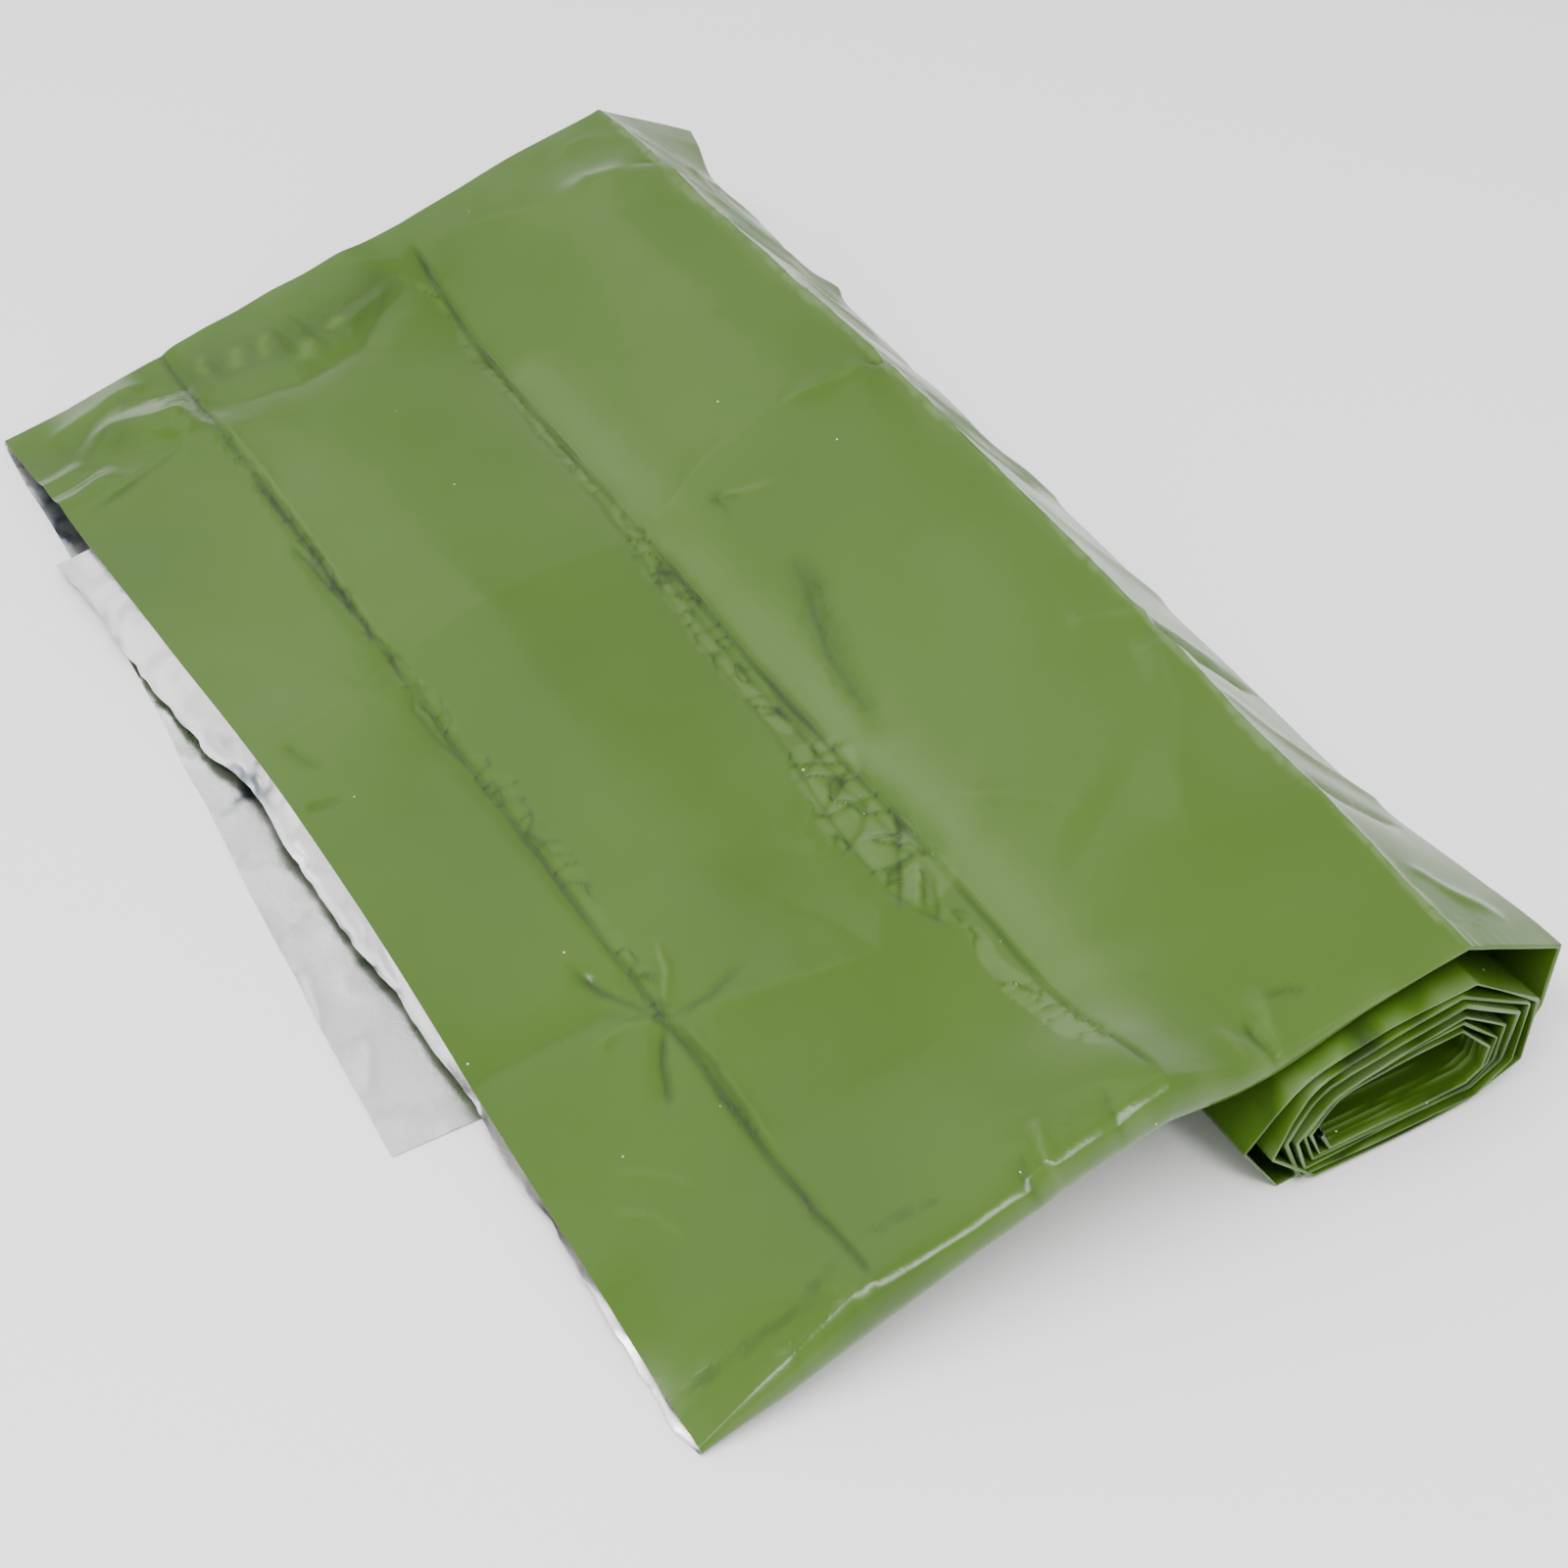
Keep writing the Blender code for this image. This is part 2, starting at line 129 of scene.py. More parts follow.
# Creases: the height of each one's line (a valley is below zero), how far it spreads, how blunt
# its line is, and the points (s, v) that it runs through. Where its two sides spread differently,
# the reach is given for its right side and then its left one, looking along the points.
Fold = namedtuple("Fold", "name height reach blunt points")
LINE_WIDTH = 1.1          # of the painted shade in valley creases, painted highlight on raised ones
FINE_REACH = 2.4          # a wider crease draws a fainter line, and a finer one wanders less
FOLD_HIGHLIGHT_WIDTH = 1.6        # of the painted highlight along the long folds
FOLDS = (
    Fold("first crease",         -1.3, (2.2, 1.4), 0.4,
         ((54, 512), (54, 430), (54, 300), (54, 120), (54, 0))),
    Fold("first crease, tuck",   -0.8,        1.6, 0.4, ((50, 380), (52, 352), (54.5, 312))),
    Fold("first crease, flap",   0.45,        1.8, 0.5,
         ((57, 460), (58, 410), (57.5, 370), (55.5, 322))),
    Fold("first crease, curl",   -0.7,        1.8, 0.5,
         ((54, 296), (50, 280), (51, 262), (55, 246))),
    Fold("first crease, near",    0.5,        1.8, 0.4, ((57, 122), (58.5, 96), (57, 62))),
    Fold("second crease",        -1.5, (3.0, 0.7), 0.2,
         ((148.6, 492), (148.6, 300), (148.6, 150), (148.6, 4))),
    Fold("second crease, band",  -1.0,        3.0, 1.2,
         ((146, 300), (144, 250), (144, 200), (143, 160), (144, 110))),
    Fold("second crease, lip",   -0.6,        2.2, 0.5,
         ((144, 410), (145, 360), (143, 310), (139.5, 260), (138, 215),
          (135, 185), (131, 150), (130, 118), (138, 92))),
    Fold("far fold line, end",    2.6,         13, 1.6,
         ((-6, 439), (18, 443), (44, 449), (54, 464))),
    Fold("far fold line, panel", -3.6,         13, 1.2,
         ((54, 466), (70, 457), (92, 453), (116, 457), (144, 486))),
    Fold("far bulge",             1.5,         16, 4.0,
         ((50, 506), (80, 503), (104, 502), (140, 508))),
    Fold("far fold line, ramp",   2.2,         15, 1.2,
         ((146, 486), (170, 483), (192, 474), (214, 463), (250, 453))),
    Fold("third line, end",       1.1,         14, 1.0,
         ((-6, 294), (12, 295), (41, 297), (54, 304))),
    Fold("third line, panel",     1.2,         13, 0.8,
         ((54, 304), (76, 304), (114, 309), (148, 305))),
    Fold("third line, ramp",      1.8,         16, 1.2,
         ((150, 305), (181, 312), (215, 312), (252, 303))),
    Fold("second line, end",     -1.6,         10, 0.8,
         ((-6, 139), (24, 136), (41, 134), (54, 120))),
    Fold("second line, panel",    1.7,         14, 1.0,
         ((54, 120), (70, 114), (94, 105), (115, 101), (148, 146))),
    Fold("second line, ramp",     1.4,         12, 1.0,
         ((150, 147), (166, 138), (183, 120), (196, 100))),
    Fold("cream, wrinkle",       -0.8,        2.2, 0.8, ((42, 484), (48, 478), (54, 472))),
    Fold("cream, wrinkle, low",  -0.7,        2.2, 0.8, ((44, 476), (50, 471), (55, 466))),
    Fold("end crease",           -0.9, (3.0, 1.6), 0.5,
         ((2, 438), (18, 441), (34, 446), (46, 449))),
    Fold("ridge line",            0.9,        1.6, 0.4,
         ((248.8, 512), (248.8, 300), (248.8, 100), (248.8, -6))),
    Fold("back gouge",           -3.6,        3.6, 0.5,
         ((246, 155), (254, 150), (270, 144), (296, 132))),
    Fold("back gouge, lip",       1.4,        3.5, 0.5,
         ((238, 163), (250, 156), (266, 152), (290, 142))),
    Fold("back gouge, under",     1.6,        5.0, 0.8, ((236, 146), (248, 143), (262, 137))),
    Fold("gouge shine",           1.0,        6.0, 1.0, ((226, 168), (238, 165), (249, 158))),
    Fold("gouge streak",          1.5,          9, 2.0,
         ((246, 148), (237, 123), (218, 98), (205, 72))),
    Fold("trough",               -1.5,          8, 2.5,
         ((180, 258), (175, 236), (168, 214), (164, 180))),
    Fold("mark, left",           -0.5,        2.2, 0.8, ((173, 301), (175, 290), (172, 283))),
    Fold("mark, top",             0.5,        2.2, 0.8,
         ((172, 300), (180, 293), (188, 287), (196, 284))),
    Fold("mark, inside",         -0.4,        2.2, 0.8, ((175, 297), (182, 288))),
    Fold("lens",                 -0.2,        3.6, 1.2,
         ((0, 17), (19, 15), (37, 14), (53, 20), (78, 18))),
    Fold("star, left low",       -1.3,        2.2, 0.9, ((54, 120), (46, 108), (38, 92))),
    Fold("star, left",            1.2,        2.6, 0.9, ((54, 121), (45, 126), (30, 128))),
    Fold("star, left top",       -1.2,        2.2, 0.9, ((54, 121), (44, 142), (40, 158))),
    Fold("star, right top",       1.1,        2.4, 0.9, ((54, 122), (62, 134), (66, 150))),
    Fold("star, right",          -1.0,        2.4, 0.9, ((54, 120), (68, 118), (84, 122))),
    Fold("petal",                 1.2,        2.6, 0.9,
         ((155, 146), (150, 134), (140, 117), (129, 104))),
    Fold("petal, dark",          -1.3,        2.4, 0.8,
         ((152, 151), (145, 136), (135, 121), (126, 108))),
    Fold("petal, second",        -0.8,        2.4, 0.8, ((149, 172), (138, 163), (127, 156))),
    Fold("petal, third",         -0.8,        2.4, 0.8, ((148, 160), (137, 146), (124, 138))),
    Fold("petal, fourth",        -0.8,        2.4, 0.8, ((146, 186), (137, 178), (130, 176))),
    Fold("petal, low",           -0.7,        2.4, 0.8, ((146, 118), (138, 104), (132, 98))),
    Fold("pinch, top",            1.5,        3.0, 0.9, ((184, -2), (189, 12), (193, 26))),
    Fold("pinch, left",           1.3,        3.0, 0.9, ((182, -2), (177, 10), (176, 20))),
    Fold("pinch, between",       -1.4,        3.0, 0.9, ((183, -2), (183, 8), (184, 18))),
    Fold("pinch, far",           -0.9,        3.0, 0.9, ((190, 20), (199, 18), (204, 12))),
    Fold("near kink",             1.2,        3.0, 0.5, ((104, -4), (108, 8), (114, 20))),
    Fold("near kink, valley",    -1.2,        3.5, 0.6, ((98, -4), (100, 6), (103, 14))),
    Fold("near end of crease",    0.7,        5.0, 1.0, ((48, -4), (46, 8), (40, 16))),
    Fold("near wave",            -0.6,        7.0, 1.5, ((24, -4), (28, 5), (34, 10))),
    Fold("near wave, second",    -1.1,        6.0, 1.5, ((128, -4), (130, 8), (134, 16))),
    Fold("ridge, first nick",    -1.3,        3.0, 0.5, ((238, 462), (249, 455), (262, 452))),
    Fold("ridge, second nick",   -1.6,        3.0, 0.5, ((240, 308), (249, 303), (264, 296))),
    Fold("ridge, shine",          1.2,        5.0, 0.8, ((208, 312), (228, 307), (249, 304))),
    Fold("facet, 1",              2.2,        3.6, 1.2,
         ((249, 492), (266, 470), (292, 446), (300, 440))),
    Fold("facet, 2",             -2.2,        3.2, 1.0,
         ((249, 470), (268, 446), (294, 418), (304, 408))),
    Fold("facet, 3",              2.7,        3.6, 1.0,
         ((250, 452), (270, 420), (296, 388), (306, 380))),
    Fold("facet, 4",             -2.1,        2.6, 0.7, ((256, 420), (272, 396), (293, 372))),
    Fold("facet, 5",              2.0,        2.6, 0.7, ((262, 392), (276, 366), (292, 348))),
    Fold("facet, 6",             -2.2,        3.4, 1.2,
         ((249, 340), (266, 316), (294, 290), (304, 282))),
    Fold("facet, 7",              2.4,        3.2, 1.0,
         ((249, 310), (268, 282), (294, 250), (304, 240))),
    Fold("facet, 8",             -2.1,        2.6, 0.7, ((252, 286), (266, 262), (288, 246))),
    Fold("facet, 9",              2.0,        3.6, 1.2,
         ((249, 126), (270, 98), (296, 78), (304, 72))),
    Fold("facet, 12",             1.6,        4.5, 2.0,
         ((254, 232), (272, 205), (294, 190), (304, 184))),
    Fold("facet, 13",            -1.4,        4.5, 2.0,
         ((256, 376), (276, 350), (298, 330), (306, 324))),
    Fold("facet, 10",            -2.1,        3.4, 1.2, ((252, 84), (268, 68), (290, 60))),
    Fold("facet, 11",             1.9,        3.2, 1.2, ((256, 40), (268, 22), (282, 10))),
    Fold("far shine, low",        1.2,        5.0, 1.0, ((210, 462), (224, 466), (240, 458))),
    Fold("far shine, high",       1.0,        5.0, 1.0, ((222, 492), (238, 490), (248, 478))),
    Fold("scratch, 1",            0.4,        1.5, 0.6, ((12, 76), (20, 66), (24, 52))),
    Fold("scratch, 2",            0.4,        1.5, 0.6, ((18, 88), (30, 74), (36, 64))),
    Fold("edge nick, 1",         -0.6,        1.5, 0.4, ((3, 262), (10, 259), (16, 257))),
    Fold("edge nick, 2",         -0.6,        1.5, 0.4, ((9, 292), (13, 279), (18, 272))),
)

# Pleats: like creases, but their two sides are straight slopes that end where they reach zero
PLEATS = (
    Fold("cream, first",      3.2, (11, 8.5), 0.6, ((6, 487), (20, 490), (34, 492), (48, 493))),
    Fold("cream, second",     5.4,  (14, 15), 0.6,
         ((14, 480), (26, 474), (38, 468), (49, 463), (58, 461))),
    Fold("corner shine",      1.5,    (6, 5), 0.5, ((-6, 464), (4, 464), (14, 466))),
    Fold("corner shine, low", 1.9,    (6, 6), 0.5, ((-6, 449), (6, 449), (20, 455))),
    Fold("bulge glint",       1.1,    (4, 4), 0.6, ((142, 480), (130, 474), (113, 471))),
)

# Crumpled bands: height of the crumples, their size along s and v, how far the band spreads to
# each side of its line, its painted sheen between its creases (painted shade where below zero) and
# its painted shade in them, and the points (s, v) of its line
Crumple = namedtuple("Crumple", "name height size_s size_v reach shine dark points")
CRUMPLES = (
    Crumple("first crease",          0.5, 4.5, 5.0, 3.0,  0.1, 0.4,
            ((53, 478), (54, 400), (54, 340), (55, 306))),
    Crumple("first crease, middle",  0.5, 5.0, 6.0, 4.5,  0.1, 0.5,
            ((55, 316), (55, 280), (57, 240), (58, 180), (56, 126))),
    Crumple("first crease, star",    0.6, 5.0, 5.0, 6.0,  0.1, 0.5,
            ((58, 150), (55, 130), (53, 112))),
    Crumple("first crease, near",    0.3, 3.5, 5.0, 2.5,  0.0, 0.3,
            ((54, 110), (54, 60), (53, 10))),
    Crumple("second crease, far",    0.4, 4.5, 5.0, 3.0,  0.2, 0.4,
            ((144, 482), (146, 450), (146, 400), (147, 340), (147, 300))),
    Crumple("second crease, knot",   0.6, 5.0, 5.0, 4.5,  0.2, 0.6,
            ((149, 318), (144, 298), (142, 278))),
    Crumple("second crease, band",   0.5, 5.0, 5.5, 5.0, 0.35, 0.5,
            ((145, 290), (143, 250), (142, 215), (141, 190))),
    Crumple("second crease, patch",  1.1, 7.5, 5.5,  11,  0.3, 0.6,
            ((146, 196), (141, 172), (138, 150), (139, 124), (143, 102))),
    Crumple("second crease, fringe", 0.7, 8.0, 3.4, 4.5,  0.4, 0.5,
            ((145, 108), (141, 84), (142, 62), (144, 44), (147, 22))),
    Crumple("lens, mark",            0.1, 6.0, 9.0, 3.2, -0.3, 0.0,
            ((0, 17), (19, 15), (37, 14), (48, 20))),
    Crumple("lens, second mark",     0.1, 6.0, 9.0, 2.6, -0.3, 0.0, ((58, 22), (66, 18), (84, 14))),
    Crumple("far bulge",             1.1, 8.0,  20,  11,  0.0, 0.1,
            ((58, 484), (80, 480), (104, 476), (128, 478))),
    Crumple("far corner",            0.6, 9.0,  14,   9,  0.0, 0.2,
            ((12, 488), (30, 484), (50, 478))),
    Crumple("back facet, far",       1.0, 9.0,  16,  10,  0.0, 0.3,
            ((262, 496), (276, 460), (280, 420), (282, 380))),
    Crumple("back facet, nick",      1.3, 6.0, 8.0,   7,  0.0, 0.5,
            ((250, 330), (256, 305), (264, 288))),
    Crumple("trough",                0.2, 6.0, 8.0,   6,  0.0, 0.2,
            ((178, 250), (172, 225), (167, 195), (164, 176))),
    Crumple("mark",                  0.4, 5.0, 5.0,   4,  0.0, 0.4, ((173, 298), (180, 290))),
    Crumple("ridge line",            0.4, 6.0, 7.0, 2.6,  0.5, 0.0,
            ((249, 502), (249, 300), (249, 150), (249, 2))),
    Crumple("near corner of ridge",  1.2, 6.0, 5.0,   6,  0.1, 0.3,
            ((240, 6), (252, 6), (268, 5), (282, 6))),
    Crumple("near fold",             0.4,  15, 9.0,   5,  0.0, 0.0,
            ((8, 6), (50, 7), (110, 6), (170, 6), (230, 5))),
)

# Patches of painted shade (below zero) and painted highlights and reflections (above zero) on the
# film: how strong it is, how far it spreads, and the points (s, v) of its line
Shade = namedtuple("Shade", "name tone reach points")
SHADES = (
    # Painted shade on the far bulge and by the end's far corner
    Shade("far bulge",      -0.28,  10, ((50, 484), (72, 480), (96, 473), (116, 474), (142, 484))),
    Shade("end, far",        -0.2,  14, ((-10, 478), (10, 476), (40, 470))),
    # Painted reflections of the bright horizon on the far corner's slopes
    Shade("cream, first",     0.7, 3.2, ((10, 492), (28, 496), (46, 498))),
    Shade("cream, second",    0.7, 4.0, ((20, 484), (36, 477), (51, 471))),
    # Painted glints on the far bulge
    Shade("bulge glint, 1",   0.5, 2.6, ((104, 472), (100, 468), (95, 462))),
    Shade("bulge glint, 2",   0.5, 2.6, ((91, 486), (88, 478), (86, 470))),
    Shade("bulge glint, 3",   0.5, 2.8, ((79, 488), (77, 480), (75, 472))),
    Shade("bulge glint, 4",   0.5, 2.6, ((67, 491), (63, 483), (64, 475))),
    Shade("bulge glint, 5",   0.6, 2.2, ((116, 476), (110, 470))),
    # Painted highlight along the ramp beside the second crease
    Shade("ramp foot",       0.28,  10, ((157, 420), (157, 300), (158, 180), (158, 90), (155, 20))),
    # Painted shade in the trough, the crumpled patch and beside the creases
    Shade("trough",         -0.35,   5,
          ((181, 258), (177, 237), (169, 214), (163, 180), (163, 166))),
    Shade("patch, dark",     -0.3,   4, ((151, 176), (150, 160), (153, 142), (152, 118))),
    Shade("band, dark",     -0.35, 2.4, ((147, 300), (147, 262), (147, 220), (147, 186))),
    Shade("tuck, dark",     -0.35, 2.2, ((55, 420), (55, 372), (54, 330))),
    Shade("near dark",      -0.35, 2.2, ((56, 122), (57, 96), (56, 66))),
)


def ease(t):
    t = np.clip(t, 0.0, 1.0)
    return t * t * (3.0 - 2.0 * t)


def value_noise(x, y, seed):
    """Smooth noise from -1 to 1, with one lattice point for each unit of x and y."""
    lattice = np.random.default_rng(seed).uniform(-1.0, 1.0, (64, 64))
    xi = np.floor(x).astype(int)
    yi = np.floor(y).astype(int)
    fx = ease(x - xi)
    fy = ease(y - yi)
    low = lattice[xi % 64, yi % 64] * (1 - fx) + lattice[(xi + 1) % 64, yi % 64] * fx
    high = lattice[xi % 64, (yi + 1) % 64] * (1 - fx) + lattice[(xi + 1) % 64, (yi + 1) % 64] * fx
    return low * (1 - fy) + high * fy


def ridged(x, y, seed):
    """Noise with sharp crests, from 0 in the flats to 1 on a crest."""
    warp = value_noise(x * 0.6 + 7.3, y * 0.6 + 2.1, seed + 1)
    return 1.0 - np.abs(value_noise(x + 0.6 * warp, y - 0.6 * warp, seed))


def knots(v):
    """Outer face's points (x, z) at each line of the ramp and each corner of the roll, for each
    place v across the width."""
    points = []
    for line in RAMP:
        x = line.x_near + (line.x_far - line.x_near) * v / WIDTH
        if line is RAMP[0]:
            x = x + TOP_BOW * np.sin(np.pi * np.clip(v / WIDTH, 0, 1)) ** 2
        heights = (line.z_near, line.z_inner, line.z_mid, line.z_outer, line.z_far)
        points.append(np.stack([x, smooth_row(v, HEIGHT_AT, heights)], -1))
    share = v / WIDTH
    belly = ease(share / 0.2) * ease((1.0 - share) / 0.06)    # 1 in the middle, 0 at both ends
    for lap, turn in enumerate(TURNS):
        for name, (x, z) in zip(CORNERS, turn):
            if lap == 0 and name == "ridge":
                continue
            keep = 1.0 if lap == 0 else INNER_BULGE * (1.0 - lap / (len(TURNS) - 1.0))
            flatter = 0.0 if lap == 0 else FAR_SQUASH * share * ease((z - 15.0) / 20.0)
            x = x + MIDDLE_X.get(name, 0.0) * belly * keep
            z = z * (1.0 - flatter) + MIDDLE_Z.get(name, 0.0) * belly * keep
            points.append(np.stack([x, z], -1))
    return np.array(points)


def smooth_row(v, places, values):
    """Values given at a few places, eased between them."""
    places = np.asarray(places, float)
    values = np.asarray(values, float)
    k = np.clip(np.searchsorted(places, v, side="right") - 1, 0, len(places) - 2)
    t = (v - places[k]) / (places[k + 1] - places[k])
    return values[k] + (values[k + 1] - values[k]) * ease(t)


# Where each line and corner lies along the strip, measured at the middle of its width
MID = knots(np.array([0.5 * WIDTH]))[:, 0]
S_AT = np.concatenate([[0.0], np.cumsum(np.linalg.norm(np.diff(MID, axis=0), axis=1))])
SHARP = [line.sharp for line in RAMP]
SHARP += [name not in ROUNDED for turn in TURNS for name in CORNERS[:len(turn)]][1:]


def line_at(name):
    return S_AT[[line.name for line in RAMP].index(name)]


def corner_at(lap, name):
    return S_AT[len(RAMP) - 1 + lap * len(CORNERS) + CORNERS.index(name)]


FIRST_CREASE = line_at("first crease")
FIRST_PANEL = line_at("first panel")
SECOND_CREASE = line_at("second crease")
PINCH = line_at("pinch")
RIDGE = line_at("ridge")
BACK_TOP = corner_at(0, "back top")
BACK_LOW = corner_at(0, "back low")
OPEN_END = corner_at(0, "floor back")
SECOND_RIDGE = corner_at(1, "ridge")
CORE_START = corner_at(len(TURNS) - 2, "shoulder")

# Creases inside the core, parallel to its rims: their places from each long fold and their width
CORE_LINES = (2.7, 5.0, 7.4, 10.0, 12.7)
CORE_LINE_WIDTH = 0.6
CORE_COLUMNS = (-0.8, 0.0, 0.8)    # the mesh has columns at each line and beside it


def surface(s, v):
    """Outer face's points (x, z) and outward normals for each s and v, before any creases."""
    at = knots(v)
    length = np.diff(S_AT)
    slopes = np.diff(at, axis=0) / length[:, None, None]
    arriving = np.concatenate([slopes[:1], slopes])
    leaving = np.concatenate([slopes, slopes[-1:]])
    for k, sharp in enumerate(SHARP):
        if not sharp:
            share = length[k - 1] / (length[k - 1] + length[k])
            mean = slopes[k - 1] * (1 - share) + slopes[k] * share
            arriving[k] = mean
            leaving[k] = mean
    unit = slopes / np.linalg.norm(slopes, axis=-1, keepdims=True)
    out = np.stack([-unit[..., 1], unit[..., 0]], -1)
    normals = np.concatenate([out[:1], out]) + np.concatenate([out, out[-1:]])
    normals[0] = (0.0, 1.0)
    normals /= np.linalg.norm(normals, axis=-1, keepdims=True)

    k = np.clip(np.searchsorted(S_AT, s, side="right") - 1, 0, len(S_AT) - 2)
    t = ((s - S_AT[k]) / length[k])[:, None, None]
    span = length[k][:, None, None]
    points = ((2 * t**3 - 3 * t**2 + 1) * at[k] + (t**3 - 2 * t**2 + t) * span * leaving[k]
              + (3 * t**2 - 2 * t**3) * at[k + 1] + (t**3 - t**2) * span * arriving[k + 1])
    return points, normals[k] * (1 - t) + normals[k + 1] * t


def column(name, s):
    """A column of the ramp's table along the strip, held at its last value over the roll."""
    return np.interp(s, S_AT[:len(RAMP)], [getattr(line, name) for line in RAMP])


def layer_depths(s, v, height):
    """Depths of the second and third layers under the top one, which is at these heights."""
    wound = ease((s - BACK_TOP) / (OPEN_END - BACK_TOP))[:, None]
    rolling = ease((s - PINCH) / (RIDGE - PINCH))[:, None]
    step = STEP + (WOUND_STEP - STEP) * wound
    near_fold = 1 - rolling * (1 - ease(v[None, :] / 50.0))
    slack = column("slack", s)[:, None] * (1 - wound) * near_fold
    room = np.where(s[:, None] < FIRST_PANEL, height - ROOM_UNDER, 1000.0)
    third = np.minimum(2 * step + slack, room)

    # The second layer lies on the third, and hangs lower where the third doesn't reach
    bare = 1.0 - ease((v[None, :] - THIRD_EDGE + 25.0) / 20.0)
    second = (third - step) * (1 - bare) + np.minimum(step + slack, room) * bare

    # In the free end it stays close under the top layer, but drops at the cut
    drop = np.maximum(height - 8.0, 0.0) * np.exp(-((s / 7.0) ** 2))[:, None]
    close = ease((FIRST_CREASE - s) / 20.0)[:, None]
    second = second * (1 - close) + np.minimum(3.6 + drop, second) * close

    # The near fold is puffed, more in the open part than in the roll
    puff = column("puff", s) * (1 - wound[:, 0])
    puff = puff + wound[:, 0] * WOUND_PUFF * (0.8 + 0.5 * value_noise(s / 21.0, s / 300.0, 9))
    reach = PUFF_REACH + (WOUND_REACH - PUFF_REACH) * wound
    puffed = np.maximum(second, np.minimum(puff[:, None], room))
    return puffed + (second - puffed) * ease(v[None, :] / reach), third


def nearest(along, across, points):
    """Distance to a line of points, how far along it, its fade towards both ends, and whether the
    place is on its left, where s is to the right and v is up."""
    best = np.full(along.shape, 1e9)
    place = np.zeros(along.shape)
    on_left = np.zeros(along.shape, bool)
    start = 0.0
    for (s0, v0), (s1, v1) in zip(points, points[1:]):
        length = float(np.hypot(s1 - s0, v1 - v0))
        t = np.clip(((along - s0) * (s1 - s0) + (across - v0) * (v1 - v0)) / length**2, 0.0, 1.0)
        away = np.hypot(along - s0 - t * (s1 - s0), across - v0 - t * (v1 - v0))
        place = np.where(away < best, start + t * length, place)
        side = (across - v0) * (s1 - s0) - (along - s0) * (v1 - v0)
        on_left = np.where(away < best, side > 0, on_left)
        best = np.minimum(best, away)
        start += length
    run = min(0.3 * start, 14.0)
    return best, place, ease(place / run) * ease((start - place) / run), on_left


def blunted(away, blunt):
    """Distance from a line whose crest or valley is rounded off."""
    return np.sqrt(away**2 + blunt**2) - blunt


def shake(along, across, size_s, size_v, seed):
    """How far drawn lines wander from their points, in mm."""
    return (1.3 * value_noise(along / size_s, across / size_v, seed)
            + 0.5 * value_noise(along / 4, across / 4, seed + 1))


def waves(along, across):
    """The film's slow swells, with soft creases where they cross zero."""
    height = 0.7 * value_noise(along / 46.0, across / 85.0, 3)
    height += 0.55 * np.abs(value_noise(along / 58.0 + 0.01 * across, across / 66.0, 5))
    height += 0.35 * value_noise(along / 26.0 - 0.008 * across, across / 38.0, 6)
    return height


